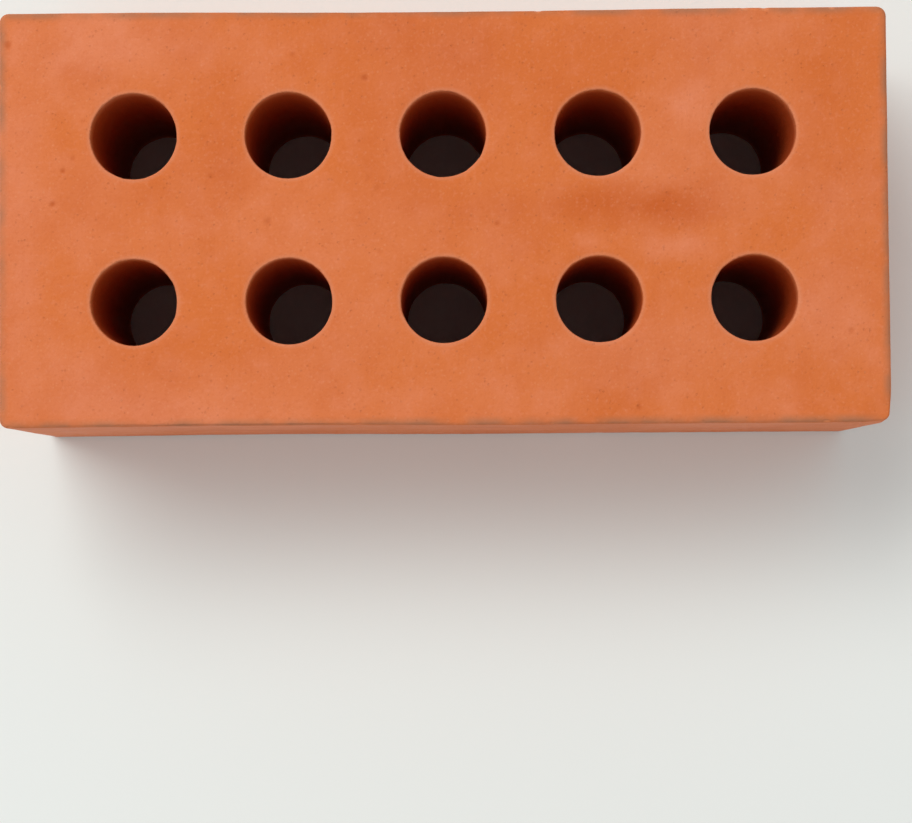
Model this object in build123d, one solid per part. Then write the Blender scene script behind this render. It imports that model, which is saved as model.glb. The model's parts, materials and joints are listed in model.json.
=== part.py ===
import os

from build123d import *

# A perforated clay brick, in millimetres. Stiff clay is pushed through a die that forms the outline
# and, round its core rods, two rows of holes. A wire cuts the column to height, and the piece is fired.
# The origin is the middle of the underside. +X runs along the length, +Y across, +Z up the holes.

# Die: plan of the clay column, with the round that the die's corners leave on the upright edges
brick_length = 230.0
brick_width = 108.0
upright_edge_radius = 2.6

# Core rods: round holes in straight rows, set by the shell of clay left outside them
hole_diameter = 22.0
holes_per_row = 5
hole_rows = 2
end_shell = 24.0
side_shell = 21.5

# Wire: height of one brick, and how far its cut edges are rubbed over before firing
brick_height = 75.0
bed_edge_radius = 1.2
hole_mouth_radius = 0.6


def hole_pitch(overall, shell, count):
    """Centre distance of `count` holes whose outermost walls stand `shell` inside the `overall` size."""
    first_to_last = overall - 2 * shell - hole_diameter
    return first_to_last / max(count - 1, 1)


def die_section():
    """Plan of the column as it leaves the die: the rounded outline, less the core holes."""
    pitch_along = hole_pitch(brick_length, end_shell, holes_per_row)
    pitch_across = hole_pitch(brick_width, side_shell, hole_rows)
    with BuildSketch() as section:
        RectangleRounded(brick_length, brick_width, upright_edge_radius)
        with GridLocations(pitch_along, pitch_across, holes_per_row, hole_rows):
            Circle(hole_diameter / 2, mode=Mode.SUBTRACT)
    return section.sketch


def perforated_brick():
    """One wire-cut length of the column, with the cut edges eased on both bed faces."""
    with BuildPart() as brick:
        add(die_section())
        extrude(amount=brick_height)

        bed_faces = brick.faces().filter_by(Axis.Z)
        hole_mouths = [mouth.edges() for bed in bed_faces for mouth in bed.inner_wires()]
        fillet(hole_mouths, hole_mouth_radius)

        bed_faces = brick.faces().filter_by(Axis.Z)
        bed_outlines = [bed.outer_wire().edges() for bed in bed_faces]
        fillet(bed_outlines, bed_edge_radius)
    return brick.part


os.makedirs("parts", exist_ok=True)
export_step(perforated_brick(), "parts/perforated_brick.step")
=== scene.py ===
import json
import math
import random

import bmesh
import bpy
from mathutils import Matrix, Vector, kdtree, noise


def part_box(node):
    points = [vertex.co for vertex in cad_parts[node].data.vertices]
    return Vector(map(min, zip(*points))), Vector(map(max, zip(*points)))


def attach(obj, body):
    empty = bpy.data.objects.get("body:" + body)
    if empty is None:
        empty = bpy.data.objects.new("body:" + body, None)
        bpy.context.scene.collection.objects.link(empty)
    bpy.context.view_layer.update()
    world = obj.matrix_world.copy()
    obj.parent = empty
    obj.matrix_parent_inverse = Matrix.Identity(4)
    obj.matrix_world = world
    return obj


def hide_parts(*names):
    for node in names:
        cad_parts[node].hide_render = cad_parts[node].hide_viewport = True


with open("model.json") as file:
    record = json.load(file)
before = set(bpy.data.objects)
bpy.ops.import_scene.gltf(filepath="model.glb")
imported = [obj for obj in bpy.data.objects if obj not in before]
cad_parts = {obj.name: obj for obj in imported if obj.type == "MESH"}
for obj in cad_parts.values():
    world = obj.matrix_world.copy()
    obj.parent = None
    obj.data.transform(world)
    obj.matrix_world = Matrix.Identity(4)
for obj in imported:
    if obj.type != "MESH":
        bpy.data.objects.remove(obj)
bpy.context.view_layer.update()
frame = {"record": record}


# The brick's block: one piece of stiff red clay, pushed through a die whose core rods leave the round
# holes, and cut to height by a wire. The die's plan is drawn as a grid, opened at the holes and raised.
low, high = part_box("perforated_brick")
half_length = high.x
half_width = high.y
height = high.z
length = 2 * half_length
width = 2 * half_width
bores = [mount for mount in frame["record"]["mounts"] if mount["kind"] == "bore"]
bore_axes = [Vector(bore["pos_m"][:2]) for bore in bores]
bore_radius = bores[0]["dims"]["r_mm"] / 1000
rows_x = sorted({axis.x for axis in bore_axes})
rows_y = sorted({axis.y for axis in bore_axes})

# The grid has whole cells from hole to hole, so that each hole's axis is on a crossing. Its lines close
# up towards the brick's faces and its rings towards the holes, where the clay is rounded.
cell_x = (rows_x[1] - rows_x[0]) / 32
cell_y = (rows_y[1] - rows_y[0]) / 34
rim_ring = 8
square_ring = 14
ring_insets = (0, 0.0003, 0.0006, 0.0021, 0.0036, 0.005, 0.0065)
plan_insets = (0.0026, 0.0019, 0.0012, 0.0008, 0.0004, 0)
wall_insets = (0.0012, 0.0009, 0.0006, 0.0003, 0)
side_row = 0.00175
hole_row = 0.00375


def lines(half_size, cell, insets):
    """Grid lines from the middle to a face: even cells, and then lines at the given distances from it."""
    even = int((half_size - insets[0]) / cell)
    return [index * cell for index in range(even + 1)] + [half_size - inset for inset in insets]


def ring_at(place, axis):
    """How many cells a point of the plan lies from a hole's axis, on square rings."""
    return max(abs(place.x - axis.x) / cell_x, abs(place.y - axis.y) / cell_y)


def nearest_axis(place):
    """The axis of the hole that a point of the plan is nearest to."""
    return min(bore_axes, key=lambda axis: (place.xy - axis).length_squared)


def by_hole(place):
    """Whether a point of the grid is on the innermost ring round a hole, which becomes its wall."""
    return ring_at(place, nearest_axis(place)) < rim_ring + 0.5


lines_x = lines(half_length, cell_x, plan_insets)
lines_y = lines(half_width, cell_y, plan_insets)
block = bmesh.new()
bmesh.ops.create_grid(block, x_segments=2 * len(lines_x) - 2, y_segments=2 * len(lines_y) - 2, size=1)
for vert in block.verts:
    column = round(vert.co.x * (len(lines_x) - 1))
    row = round(vert.co.y * (len(lines_y) - 1))
    vert.co.x = math.copysign(lines_x[abs(column)], column)
    vert.co.y = math.copysign(lines_y[abs(row)], row)
cut_out = []
for face in block.faces:
    middle = face.calc_center_median()
    if ring_at(middle, nearest_axis(middle)) < rim_ring:
        cut_out.append(face)
bmesh.ops.delete(block, geom=cut_out, context="FACES")

raised = bmesh.ops.extrude_face_region(block, geom=block.faces[:])
upper = [part for part in raised["geom"] if isinstance(part, bmesh.types.BMVert)]
bmesh.ops.translate(block, verts=upper, vec=(0, 0, height))
uprights = [edge for edge in block.edges if abs(edge.verts[0].co.z - edge.verts[1].co.z) > height / 2]
side_levels = lines(height / 2, side_row, wall_insets)
hole_levels = lines(height / 2, hole_row, wall_insets[2:])
for in_holes, levels in ((True, hole_levels), (False, side_levels)):
    edges = [edge for edge in uprights if by_hole(edge.verts[0].co) == in_holes]
    bmesh.ops.subdivide_edges(block, edges=edges, cuts=2 * len(levels) - 3)
bmesh.ops.recalc_face_normals(block, faces=block.faces[:])


# The brick's edges: the die's corners leave the upright edges round, and where the wire cut the column,
# the sharp edges round both beds and round every hole's mouth were rubbed over in the soft clay.
corner_radius = 0.0026
arris_radius = 0.0012
mouth_radius = 0.0006


def round_edge(inset, depth, radius):
    """Where an edge's rounding puts a point that lies `inset` and `depth` in from the edge's two faces."""
    out = Vector((radius - inset, radius - depth))
    if min(out) <= 0:
        return inset, depth
    out = out.normalized() * radius
    return radius - out.x, radius - out.y


def round_hole(place, axis, depth):
    """Draws a point on the square rings round a hole out to a circle, and rounds the hole's mouth."""
    ring = ring_at(place, axis)
    inset, depth = round_edge(ring_insets[round(ring) - rim_ring], depth, mouth_radius)
    fade = min((square_ring - ring) / (square_ring - rim_ring - 2), 1)
    offset = place.xy - axis
    offset = offset * (1 - fade) + offset.normalized() * (bore_radius + inset) * fade
    return axis + offset, depth


def round_outline(place, depth):
    """Rounds the upright corners of the plan, and the arris between a side and a bed."""
    core = Vector((half_length - corner_radius, half_width - corner_radius))
    near = Vector((min(abs(place.x), core.x), min(abs(place.y), core.y)))
    out = Vector((abs(place.x), abs(place.y))) - near
    inset, depth = round_edge(corner_radius - max(out), depth, arris_radius)
    near += out.normalized() * (corner_radius - inset)
    return Vector((math.copysign(near.x, place.x), math.copysign(near.y, place.y))), depth


for vert in block.verts:
    axis = nearest_axis(vert.co)
    ring = ring_at(vert.co, axis)
    levels = hole_levels if by_hole(vert.co) else side_levels
    level = round((vert.co.z / height - 0.5) * 2 * (len(levels) - 1))
    depth = height / 2 - levels[abs(level)]
    if ring < square_ring + 0.5:
        plan, depth = round_hole(vert.co, axis, depth)
    else:
        plan, depth = round_outline(vert.co, depth)
    vert.co = (plan.x, plan.y, depth if level < 0 else height - depth)


# The brick's marks: iron spots and pinholes that the fire burnt into the clay, and small chips knocked
# off the arrises in handling. Those on the upper bed are where the photo shows them, the rest a guess.
class Mark:
    """A hollow in the clay: where it is, how wide and deep, and how strongly it colours it, from 0 to 1."""

    def __init__(self, place, radius, depth, stain=1.0):
        self.place = Vector(place)
        self.radius = radius
        self.depth = depth
        self.stain = stain


# Spots on the upper bed: place and radius in millimetres, and how dark each burnt
bed_spots = ((-100.9, 4.1, 1.2, 0.8), (-98.3, 12.7, 1.1, 0.7), (-95.7, 15.8, 1.0, 0.45),
             (-93.0, 25.6, 0.9, 0.35), (-112.4, 45.6, 1.5, 0.6), (-61.8, 21.0, 1.1, 0.2),
             (-60.0, 11.0, 1.3, 0.4), (-45.2, -0.8, 1.4, 0.55), (-20.1, 36.3, 1.3, 0.8),
             (-17.0, 7.5, 1.5, 0.2), (-19.3, 10.3, 1.1, 0.2), (-14.4, 17.4, 1.0, 0.2),
             (-16.5, -8.8, 1.1, 0.25), (13.9, -1.8, 1.1, 0.6), (-38.7, 42.5, 1.0, 0.4),
             (49.9, -49.5, 1.1, 0.6), (104.6, -30.2, 1.2, 0.4), (48.8, 1.7, 1.2, 0.35),
             (58.1, 5.4, 1.1, 0.3), (28.6, 0.3, 1.0, 0.25))
bed_spot_steepness = 1 / 9
spots = []
for x, y, radius, darkness in bed_spots:
    place = (x / 1000, y / 1000, height)
    spots.append(Mark(place, radius / 1000, radius / 1000 * bed_spot_steepness, darkness))

# The other spots and the chips: ranges of their radius, of their depth as a share of it, and of how dark
# they are
chance = random.Random(12)
spot_radii = (0.0007, 0.0014)
spot_depths = (0.1, 0.35)
spot_stains = (0.3, 0.8)
chip_count = 30
chips_on_long_sides = 0.65
upper_chip_radii = (0.0008, 0.0016)
lower_chip_radii = (0.0012, 0.003)
chip_depths = (0.14, 0.26)


def scatter(count, corner, along, up):
    """Spots at random places on a face that runs from `corner` by `along` one way and `up` the other."""
    for _ in range(count):
        place = Vector(corner) + chance.uniform(0.04, 0.96) * Vector(along)
        place += chance.uniform(0.06, 0.94) * Vector(up)
        radius = chance.uniform(*spot_radii)
        depth = radius * chance.uniform(*spot_depths)
        spots.append(Mark(place, radius, depth, chance.uniform(*spot_stains)))


scatter(11, (-half_length, -half_width, 0), (length, 0, 0), (0, 0, height))
scatter(11, (-half_length, half_width, 0), (length, 0, 0), (0, 0, height))
scatter(6, (-half_length, -half_width, 0), (0, width, 0), (0, 0, height))
scatter(6, (half_length, -half_width, 0), (0, width, 0), (0, 0, height))
scatter(16, (-half_length, -half_width, 0), (length, 0, 0), (0, width, 0))

chips = []
for _ in range(chip_count):
    side = chance.choice((-1, 1))
    bed = chance.choice((0, 0, height))
    if chance.random() < chips_on_long_sides:
        place = (chance.uniform(-half_length, half_length), side * half_width, bed)
    else:
        place = (side * half_length, chance.uniform(-half_width, half_width), bed)
    radius = chance.uniform(*(upper_chip_radii if bed else lower_chip_radii))
    chips.append(Mark(place, radius, radius * chance.uniform(*chip_depths)))

# Faces near a mark are cut finer, so that its hollow is round
finer_around = 0.0009
middles = kdtree.KDTree(len(block.faces))
block.faces.ensure_lookup_table()
for face in block.faces:
    middles.insert(face.calc_center_median(), face.index)
middles.balance()
marked = set()
for mark in spots + chips:
    for _, index, _ in middles.find_range(mark.place, mark.radius + finer_around):
        marked.update(block.faces[index].edges)
finer = [edge for edge in block.edges if edge in marked]
bmesh.ops.subdivide_edges(block, edges=finer, cuts=2, use_grid_fill=True)


# The brick's net: its six sides laid flat beside each other and the wall of each hole unrolled, so that
# the finish of the whole brick can be printed on one sheet without cutting a side up.
gap = 0.003
right, back, up = Vector((1, 0, 0)), Vector((0, 1, 0)), Vector((0, 0, 1))
net_height = 2 * (width + height) + 3 * gap
strip_height = (net_height - (len(bore_axes) - 1) * gap) / len(bore_axes)
flats_at = gap + half_length
headers_at = length + 2 * gap + height / 2
walls_at = length + 3 * gap + height + math.pi * bore_radius
net_side = walls_at + math.pi * bore_radius + gap
sides = ((up, right, back, (flats_at, width / 2)),
         (-up, -right, back, (flats_at, width * 1.5 + gap)),
         (-back, right, up, (flats_at, 2 * (width + gap) + height / 2)),
         (back, -right, up, (flats_at, 2 * width + 3 * gap + height * 1.5)),
         (right, up, -back, (headers_at, width / 2)),
         (-right, up, back, (headers_at, width * 1.5 + gap)))
middle_of_block = Vector((0, 0, height / 2))
# At a hole's mouth, a face whose normal rises less than this belongs to the wall
wall_slope = 0.7
net = block.loops.layers.uv.new("OFBake")


def lay_side(face):
    """Lays a face of the brick's outside on the net, in the picture of the side that it turns to most."""
    _, along, upward, centre = max(sides, key=lambda side: side[0].dot(face.normal))
    for loop in face.loops:
        out = loop.vert.co - middle_of_block
        loop[net].uv = (Vector((along.dot(out), upward.dot(out))) + Vector(centre)) / net_side


def lay_wall(face, hole):
    """Lays a face of a hole's wall on the net, where that wall is unrolled into a low strip."""
    middle = face.calc_center_median().xy - bore_axes[hole]
    turn = math.atan2(middle.y, middle.x)
    for loop in face.loops:
        out = loop.vert.co.xy - bore_axes[hole]
        swing = turn + math.remainder(math.atan2(out.y, out.x) - turn, math.tau)
        rise = hole * (strip_height + gap) + loop.vert.co.z / height * strip_height
        loop[net].uv = Vector((walls_at - swing * bore_radius, rise)) / net_side


block.normal_update()
for face in block.faces:
    middle = face.calc_center_median().xy
    hole = min(range(len(bore_axes)), key=lambda number: (middle - bore_axes[number]).length)
    if abs(face.normal.z) < wall_slope and (middle - bore_axes[hole]).length < bore_radius + mouth_radius:
        lay_wall(face, hole)
    else:
        lay_side(face)


# The clay's patches: the fire leaves the clay paler in some places and deeper in others, in soft clouds.
# On the upper bed the larger ones are ovals with torn edges, where the photo shows them.
def from_bed(place):
    """How far a point lies from the plane of the nearer bed."""
    return min(place.z, height - place.z)


def bump(off, reach):
    """A hump of height 1 at 0 that fades to 0 at `reach` either side."""
    part = min(abs(off) / reach, 1)
    return (1 - part * part) ** 2


def drift(place, strength, size, seed):
    """How far the clay's colour strays to one side, from 0 to `strength`, in clouds of `size` metres."""
    cloudy = noise.fractal(place / size + Vector((seed, seed, seed)), 1.0, 2.0, 3)
    part = max(0, min(1, (cloudy + 0.15) / 0.8))
    return strength * part * part * (3 - 2 * part)


def streaks(place, ovals):
    """How strongly some torn ovals on the upper bed tint a point of it."""
    if place.z < height - arris_radius:
        return 0
    torn = place.xy * 1000 + noise.noise_vector(place * 130).xy * 2
    return sum(amount * bump(math.hypot((torn.x - x) / half_x, (torn.y - y) / half_y), 1)
               for amount, x, y, half_x, half_y in ovals)


# Ovals on the upper bed: strength, and then place and half size in millimetres
deep_ovals = ((0.62, 50, 2.8, 36, 9.5), (0.16, 36, 3, 11, 6), (0.2, 63, 2, 13, 7), (0.25, 10, 2, 26, 7),
              (0.2, 19, -5, 13, 9), (0.42, 2, 42, 28, 24), (0.15, -13, 47, 12, 9), (0.3, -57, 22, 9, 24),
              (0.25, 98, 30, 14, 30), (0.25, -92, 38, 9, 6))
pale_ovals = ((0.38, 59, -8.5, 14, 5.5), (0.18, 38, -6.5, 8, 5), (0.25, 63, 30, 8, 13),
              (0.35, -110, 0, 12, 70), (0.3, -80, -50, 46, 9), (0.36, -82, 45, 48, 12),
              (0.25, 98, -25, 14, 16), (0.3, -96, -42, 24, 15), (0.28, 50, -36, 38, 18),
              (0.18, 70, 48, 40, 10))
# With a seed of its own, noise_vector tears the ovals in the same way in every run
noise.seed_set(1)

# Strength, size and seed of the clay's broad clouds and of its small ones. The broad ones are stronger on
# the sides than on the beds, and the die drew all of them out a little
broad_pale, small_pale = (0.19, 0.032, 0.0), (0.14, 0.0055, 2.0)
broad_deep, small_deep = (0.18, 0.027, 4.0), (0.12, 0.0048, 7.0)
stronger_on_sides = 1.4
drawn_out = 1.25
bed_skin = 0.002
pale_clay = block.verts.layers.float.new("pale_clay")
deep_clay = block.verts.layers.float.new("deep_clay")
for vert in block.verts:
    more = 1.0 if from_bed(vert.co) < bed_skin else stronger_on_sides
    drawn = Vector((vert.co.x, vert.co.y, height + (vert.co.z - height) / drawn_out))
    pale_drift = more * drift(drawn, *broad_pale) + drift(drawn, *small_pale)
    deep_drift = more * drift(drawn, *broad_deep) + drift(drawn, *small_deep)
    vert[pale_clay] = min(pale_drift + streaks(vert.co, pale_ovals), 1)
    vert[deep_clay] = min(deep_drift + streaks(vert.co, deep_ovals), 1)


# The brick's skin: drying and firing bow the faces a little and leave them uneven, the die draws faint
# lines up the sides and the holes, and wear softens the arrises. All of it goes into the clay.
def swell(place, size, seed):
    """Smooth unevenness from 0 to 1 with lumps of about `size` metres."""
    return 0.5 + 0.5 * max(-1, min(1, noise.noise(place / size + Vector((seed, seed, seed))) * 1.4))


# How far the skin is from the arrises, counted faster down the sides, and how deep in a hole. Outside the
# holes the second is below 0
faster_down = 2.8
rim_reach = 0.004
from_arris = block.verts.layers.float.new("from_arris")
in_hole = block.verts.layers.float.new("in_hole")
burnt = block.verts.layers.float.new("burnt")
chipped = block.verts.layers.float.new("chipped")
for vert in block.verts:
    inset = min(half_length - abs(vert.co.x), half_width - abs(vert.co.y))
    vert[from_arris] = max(inset, from_bed(vert.co) * faster_down)
    away = (vert.co.xy - nearest_axis(vert.co)).length - bore_radius
    vert[in_hole] = from_bed(vert.co) - max(away, 0) if away < rim_reach else -away

places = kdtree.KDTree(len(block.verts))
for index, vert in enumerate(block.verts):
    places.insert(vert.co, index)
places.balance()
block.verts.ensure_lookup_table()
pressed = [0.0] * len(block.verts)


def press(marks, stained, steepness):
    """Presses the marks into the skin, and writes on the layer `stained` how strongly they colour it."""
    for mark in marks:
        for place, index, distance in places.find_range(mark.place, mark.radius):
            ragged = distance * (0.72 + 0.56 * swell(place, 0.0012, 2.3))
            shape = min(steepness * bump(ragged, mark.radius), 1)
            pressed[index] += mark.depth * shape
            vert = block.verts[index]
            vert[stained] = max(vert[stained], mark.stain * shape)


press(spots, burnt, 1)
press(chips, chipped, 2)

# Depth, size and seed of the lumps that every face has
lumps = ((0.00012, 0.045, 3.1), (0.00006, 0.012, 7.7), (0.00003, 0.0045, 11.3))
# Bows of the long sides: which side, and then the middle, half length and depth of the hollow
bows = ((1, 0.0, 0.08, 0.0004), (-1, -0.055, 0.06, 0.0003))
wave_depth = 0.0001
die_line_depth = 0.00006
die_line_squeeze = 0.06
wear_reach = 0.003
wear_depth = 0.00006
deepest_wear = 0.00035
nick_reach = 0.0012
nick_depth = 0.0004
slumped_corner = Vector((half_length, -half_width, height))
slump_reach = 0.009
slump_depth = 0.0005


def sunk(vert):
    """How far drying, the die and wear leave a point of the skin below the plain block."""
    depth = sum(amount * swell(vert.co, size, seed) for amount, size, seed in lumps)
    upright = 1 - abs(vert.normal.z)
    drawn = Vector((vert.co.x, vert.co.y, vert.co.z * die_line_squeeze))
    depth += upright * (wave_depth * swell(vert.co, 0.07, 1.9) + die_line_depth * swell(drawn, 0.006, 5.3))
    for side, middle, half_bow, amount in bows:
        if vert.normal.y * side > 0.5 and vert[in_hole] < 0:
            depth += amount * bump(vert.co.x - middle, half_bow)
    worn = max(1 - vert[from_arris] / wear_reach, 0) ** 2
    depth += worn * (wear_depth + deepest_wear * max(swell(vert.co, 0.011, 9.1) - 0.45, 0))
    nicked = bump(vert[in_hole] - 0.0002, nick_reach)
    depth += nicked * nick_depth * max(swell(vert.co, 0.0025, 6.2) - 0.55, 0)
    return depth + slump_depth * bump((vert.co - slumped_corner).length, slump_reach)


for index, vert in enumerate(block.verts):
    vert.co -= vert.normal * (pressed[index] + sunk(vert))

brick_mesh = bpy.data.meshes.new("fired_brick")
block.to_mesh(brick_mesh)
block.free()
brick_mesh.shade_smooth()
brick = bpy.data.objects.new("fired_brick", brick_mesh)
bpy.context.scene.collection.objects.link(brick)
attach(brick, "root")
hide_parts("perforated_brick")


# The fired clay: iron in the clay burns to a matt orange red, a little uneven from the kiln's air, with
# fine grit in it. The beds show the wire's drag, and the sides are smoother, where the die rubbed them.
clay = bpy.data.materials.new("fired_clay")
clay.use_nodes = True
tree = clay.node_tree
skin = tree.nodes["Principled BSDF"]


def shade(kind, feeds=None, **settings):
    """Adds a shader node to `tree`. `feeds` gives its inputs a value, or the output that feeds them."""
    made = tree.nodes.new("ShaderNode" + kind)
    for name, value in settings.items():
        setattr(made, name, value)
    for socket, value in (feeds or {}).items():
        if isinstance(value, bpy.types.NodeSocket):
            tree.links.new(value, made.inputs[socket])
        else:
            made.inputs[socket].default_value = value
    return made


on_brick = shade("TexCoord").outputs["Object"]
turned = shade("SeparateXYZ", {0: shade("TexCoord").outputs["Normal"]}).outputs["Z"]
flat = shade("Math", {0: turned}, operation="ABSOLUTE").outputs[0]


def laid(size, stretch=(1, 1, 1), shift=0.0):
    """The brick's coordinates for a pattern of `size` metres, drawn out along an axis by `stretch`."""
    scale = [1 / (size * factor) for factor in stretch]
    return shade("Mapping", {"Vector": on_brick, "Location": (shift, shift, shift),
                             "Scale": scale}).outputs[0]


def cloud(size, detail=2.0, stretch=(1, 1, 1), shift=0.0):
    """Soft noise from 0 to 1 with lumps of about `size` metres."""
    feeds = {"Vector": laid(size, stretch, shift), "Scale": 1.0, "Detail": detail}
    return shade("TexNoise", feeds).outputs["Fac"]


def ease(value, start, end, most=1.0):
    """Goes from 0 at `start` to `most` at `end`, either way round."""
    feeds = {"Value": value, "From Min": start, "From Max": end, "To Max": most}
    return shade("MapRange", feeds, interpolation_type="SMOOTHSTEP").outputs["Result"]


def times(first, second):
    """One amount multiplied by another."""
    return shade("Math", {0: first, 1: second}, operation="MULTIPLY").outputs[0]


def grains(size, share, shift=0.0, stretch=(1, 1, 1)):
    """Round grains, 1 inside and 0 outside, in a random `share` of cells of `size` metres."""
    cells = shade("TexVoronoi", {"Vector": laid(size, stretch, shift), "Scale": 1.0})
    draw = shade("SeparateColor", {0: cells.outputs["Color"]}).outputs[0]
    return times(ease(cells.outputs["Distance"], 0.5, 0.22), ease(draw, share + 0.02, share))


def colour(red, green, blue):
    """A colour as a picture shows it, 0 to 255, in the linear values that Blender takes."""
    parts = [part / 255 for part in (red, green, blue)]
    return [part / 12.92 if part < 0.04045 else ((part + 0.055) / 1.055) ** 2.4 for part in parts] + [1]


def tint(under, over, amount):
    """Lays the colour `over` on `under` by `amount`."""
    mixed = shade("Mix", {0: amount, 7: over}, data_type="RGBA")
    if isinstance(under, bpy.types.NodeSocket):
        tree.links.new(under, mixed.inputs[6])
    else:
        mixed.inputs[6].default_value = under
    return mixed.outputs[2]


def layer(name):
    """One of the measures that the brick's mesh carries."""
    return shade("Attribute", attribute_name=name).outputs["Fac"]


# The clay's own colours, laid on in the patches that the mesh carries and in fine mottling. Faint streaks
# run up the sides, where the die drew the clay out
on_beds = ease(flat, 0.6, 0.95)
on_sides = ease(flat, 0.6, 0.3)
deep = colour(195, 88, 25)
pale = colour(230, 142, 108)
surface = colour(213, 112, 53)
surface = tint(surface, pale, layer("pale_clay"))
surface = tint(surface, deep, layer("deep_clay"))
surface = tint(surface, pale, ease(cloud(0.0011), 0.5, 0.75, 0.18))
surface = tint(surface, deep, ease(cloud(0.0009, shift=3.0), 0.5, 0.75, 0.18))
surface = tint(surface, deep, times(on_sides, ease(cloud(0.0014, stretch=(1, 1, 7)), 0.4, 0.75, 0.09)))

# Grains of pale sand and open pores, and on the sides pale flecks and the pits that dragged grains left
sand = grains(0.0008, 0.06)
pits = grains(0.0008, 0.05, shift=5.0)
flecks = times(on_sides, ease(cloud(0.0032, 3.0, shift=9.0), 0.58, 0.74, 0.24))
dragged = times(on_sides, grains(0.0011, 0.03, shift=8.0, stretch=(1, 1, 1.6)))
surface = tint(surface, colour(232, 160, 118), times(sand, 0.14))
surface = tint(surface, colour(150, 72, 40), times(pits, 0.14))
surface = tint(surface, pale, flecks)
surface = tint(surface, colour(158, 72, 36), times(dragged, 0.22))

# The arrises are browner in patches, the holes' mouths rubbed pale, and painted shade darkens the holes
# Browner clay in uneven patches within 3 mm of the arrises
arris_browning = times(ease(layer("from_arris"), 0.003, 0.0004), ease(cloud(0.009), 0.2, 0.7, 0.8))
rubbed_mouth = times(ease(layer("in_hole"), -0.0016, -0.0003), ease(layer("in_hole"), 0.0009, 0.0, 0.35))
surface = tint(surface, colour(160, 109, 80), arris_browning)
surface = tint(surface, colour(216, 142, 110), rubbed_mouth)
# Painted shade: deep in the holes the clay is painted a darker, redder brown
surface = tint(surface, colour(176, 68, 14), ease(layer("in_hole"), 0.0, 0.006, 0.92))
surface = tint(surface, colour(183, 81, 24), layer("burnt"))
surface = tint(surface, colour(226, 142, 96), times(layer("chipped"), 0.5))
tree.links.new(surface, skin.inputs["Base Color"])

uneven_gloss = cloud(0.005)
bed_gloss = shade("MapRange", {"Value": uneven_gloss, "To Min": 0.72, "To Max": 0.9}).outputs["Result"]
side_gloss = shade("MapRange", {"Value": uneven_gloss, "To Min": 0.5, "To Max": 0.72}).outputs["Result"]
rough = shade("Mix", {0: on_sides, 2: bed_gloss, 3: side_gloss}).outputs[0]
tree.links.new(rough, skin.inputs["Roughness"])
skin.inputs["Specular IOR Level"].default_value = 0.3

# Fine relief: grit, then the pits in it, then the lines that the die and the wire drew
grit = shade("Bump", {"Height": cloud(0.0006), "Strength": 0.36, "Distance": 0.0004})
pores = shade("Bump", {"Height": pits, "Strength": 0.5, "Distance": 0.0002,
                       "Normal": grit.outputs[0]}, invert=True)
drag_pits = shade("Bump", {"Height": dragged, "Strength": 0.4, "Distance": 0.0002,
                           "Normal": pores.outputs[0]}, invert=True)
drawn_lines = times(on_sides, cloud(0.0012, 3.0, (1, 1, 12)))
die_lines = shade("Bump", {"Height": drawn_lines, "Strength": 0.26, "Distance": 0.0003,
                           "Normal": drag_pits.outputs[0]})
wire_lines = times(on_beds, cloud(0.0014, stretch=(1, 25, 1)))
wire_drag = shade("Bump", {"Height": wire_lines, "Strength": 0.35, "Distance": 0.0003,
                           "Normal": die_lines.outputs[0]})
tree.links.new(wire_drag.outputs[0], skin.inputs["Normal"])
brick_mesh.materials.append(clay)


# The stage: a sheet of pale matt paper under the brick, which runs out of sight into a surround of the
# same tone, and a large soft lamp behind it on the left.
daylight = (0.975, 0.99, 1.0, 1)
backdrop_strength = 0.84


def seen():
    """1 on what the camera sees, straight or in a reflection, and 0 on light on its way to the brick."""
    path = shade("LightPath")
    straight = shade("Math", {0: path.outputs["Is Camera Ray"], 1: path.outputs["Is Glossy Ray"]},
                     operation="MAXIMUM").outputs[0]
    through = path.outputs["Is Transmission Ray"]
    return shade("Math", {0: straight, 1: through}, operation="MAXIMUM").outputs[0]


plane = bmesh.new()
bmesh.ops.create_grid(plane, x_segments=1, y_segments=1, size=8)
bmesh.ops.translate(plane, verts=plane.verts[:], vec=(0, 0, low.z))
floor_mesh = bpy.data.meshes.new("floor")
plane.to_mesh(floor_mesh)
plane.free()
floor = bpy.data.objects.new("floor", floor_mesh)
bpy.context.scene.collection.objects.link(floor)

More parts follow.
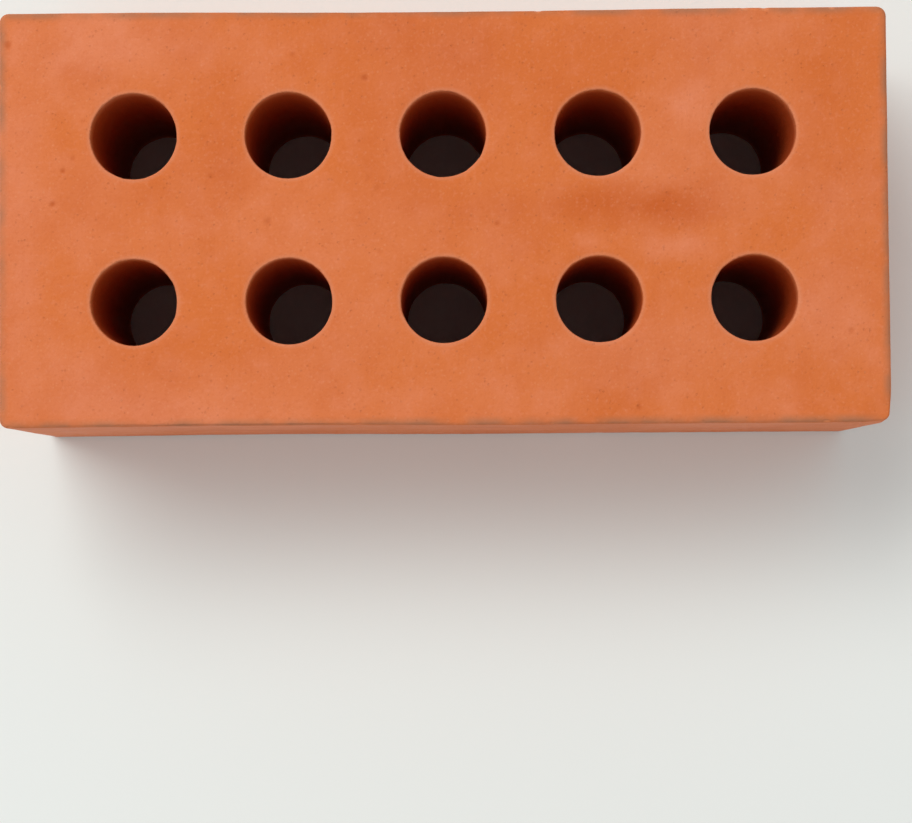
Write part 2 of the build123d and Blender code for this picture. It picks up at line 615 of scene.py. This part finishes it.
paper = bpy.data.materials.new("pale_floor")
paper.use_nodes = True
tree = paper.node_tree
sheet = tree.nodes["Principled BSDF"]
sheet.inputs["Base Color"].default_value = colour(235, 239, 236)
sheet.inputs["Roughness"].default_value = 0.9
sheet.inputs["Specular IOR Level"].default_value = 0.1
on_floor = shade("TexCoord").outputs["Object"]
distance = shade("VectorMath", {0: on_floor}, operation="LENGTH").outputs["Value"]
haze = shade("Emission", {"Color": daylight, "Strength": backdrop_strength}).outputs[0]
far = times(ease(distance, 0.6, 2.5), seen())
faded = shade("MixShader", {0: far, 1: sheet.outputs[0], 2: haze}).outputs[0]
tree.links.new(faded, tree.nodes["Material Output"].inputs["Surface"])
floor_mesh.materials.append(paper)

# Straight above, where the camera hangs, the surround is darker
surround = bpy.data.worlds.new("surround")
surround.use_nodes = True
tree = surround.node_tree
upward = shade("SeparateXYZ", {0: shade("TexCoord").outputs["Generated"]}).outputs["Z"]
light = shade("MapRange", {"Value": upward, "From Min": 0.9, "From Max": 0.985, "To Min": 0.66,
                           "To Max": 0.18}, interpolation_type="SMOOTHSTEP").outputs["Result"]
strength = shade("Mix", {0: seen(), 2: light, 3: backdrop_strength}).outputs[0]
tree.nodes["Background"].inputs["Color"].default_value = daylight
tree.links.new(strength, tree.nodes["Background"].inputs["Strength"])
bpy.context.scene.world = surround

window = bpy.data.lights.new("window", "AREA")
window.shape = "RECTANGLE"
window.size = 1.65
window.size_y = 0.9
window.energy = 29.0
window.color = (1.0, 0.98, 0.95)
window_at = Vector((-0.88, 0.9, 1.97))
lit_point = Vector((0, 0, 0.05))
lamp = bpy.data.objects.new("window", window)
lamp.location = window_at
lamp.rotation_euler = (lit_point - window_at).to_track_quat("-Z", "Y").to_euler()
bpy.context.scene.collection.objects.link(lamp)


# The camera: above the brick and a little in front of its middle, looking straight down but for a few
# degrees, as the photo was taken.
camera_data = bpy.data.cameras.new("camera")
camera_data.sensor_width = 36
camera_data.lens = 94.4
camera = bpy.data.objects.new("camera", camera_data)
camera.location = (0.00558, -0.07446, 0.68915)
camera.rotation_euler = [math.radians(angle) for angle in (2.252, 0.271, -0.42)]
bpy.context.scene.collection.objects.link(camera)
bpy.context.scene.camera = camera
bpy.context.scene.view_settings.view_transform = "Standard"
